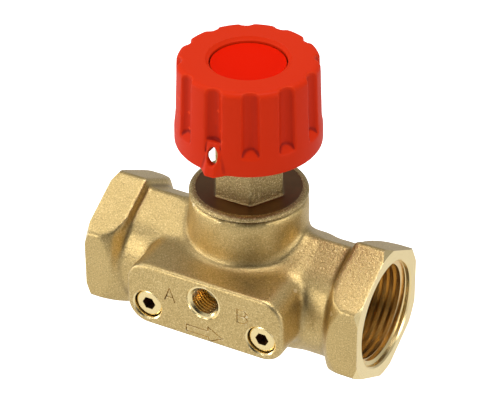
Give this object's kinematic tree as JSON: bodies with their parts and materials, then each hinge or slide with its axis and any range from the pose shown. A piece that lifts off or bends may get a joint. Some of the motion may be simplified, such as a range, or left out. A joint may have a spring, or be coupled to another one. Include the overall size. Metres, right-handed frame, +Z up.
{
  "type": "three port shut-off valve",
  "caption": "Forged brass shut-off valve with female pipe ports in line, a side pad with a small threaded tapping between socket plugs, and a fluted red knob on a rising spindle.",
  "frame": {"origin": "where the flow axis through ports A and B crosses the spindle axis", "axes": "+X along the flow from port A to port B, +Z up the spindle to the knob, -Y out of the pad that holds the tapping and the plug screws"},
  "size_m": [0.075, 0.0409, 0.0794],
  "materials": {
    "forged_brass": "as forged and blasted, fine even grain, satin",
    "turned_brass": "turned bright, fine tool marks",
    "knob_plastic": "moulded red, satin",
    "cap_plastic": "moulded red, glossier than the knob",
    "seal_rubber": "black, smooth",
    "slip_plastic": "white, waxy",
    "plated_steel": "zinc plated, satin"
  },
  "bodies": {
    "valve_body": {"valve_body": "forged_brass", "bonnet": "forged_brass", "bonnet_o_ring": "seal_rubber"},
    "cone": {"valve_cone": "turned_brass", "cone_clip": "plated_steel", "seat_washer": "seal_rubber", "throttle_cone": "turned_brass", "cone_screw": "plated_steel"},
    "spindle": {"spindle": "turned_brass", "spindle_o_ring_lower": "seal_rubber", "spindle_o_ring_upper": "seal_rubber", "back_seat_washer": "slip_plastic", "knob": "knob_plastic", "knob_insert": "turned_brass", "knob_screw_washer": "plated_steel", "knob_screw": "plated_steel", "knob_cap": "cap_plastic"},
    "plug_a_ring": {"plug_a_o_ring": "seal_rubber"},
    "plug_a": {"plug_a_screw": "turned_brass"},
    "plug_b_ring": {"plug_b_o_ring": "seal_rubber"},
    "plug_b": {"plug_b_screw": "turned_brass"}
  },
  "joints": [
    {"name": "cone_lift", "type": "slide", "parent": "valve_body", "child": "cone", "axis": [0, 0, 1], "range_m": [-0.005, 0]},
    {"name": "knob_turn", "type": "hinge", "parent": "cone", "child": "spindle", "pos_m": [0, 0, 0.034], "axis": [0, 0, 1], "range_deg": [-900, 0]},
    {"name": "plug_a_travel", "type": "slide", "parent": "valve_body", "child": "plug_a_ring", "axis": [0, -1, 0], "range_m": [0, 0.00112]},
    {"name": "plug_a_turn", "type": "hinge", "parent": "plug_a_ring", "child": "plug_a", "pos_m": [-0.0155, -0.02246, -0.0005], "axis": [0, -1, 0], "range_deg": [0, 540]},
    {"name": "plug_b_travel", "type": "slide", "parent": "valve_body", "child": "plug_b_ring", "axis": [0, -1, 0], "range_m": [0, 0.00112]},
    {"name": "plug_b_turn", "type": "hinge", "parent": "plug_b_ring", "child": "plug_b", "pos_m": [0.0155, -0.02246, -0.0005], "axis": [0, -1, 0], "range_deg": [0, 540]}
  ],
  "couplings": [
    {"joint": "knob_turn", "follows": "cone_lift", "rad_per_m": 3141.6},
    {"joint": "plug_a_turn", "follows": "plug_a_travel", "rad_per_m": 8377.6},
    {"joint": "plug_b_turn", "follows": "plug_b_travel", "rad_per_m": 8377.6}
  ]
}
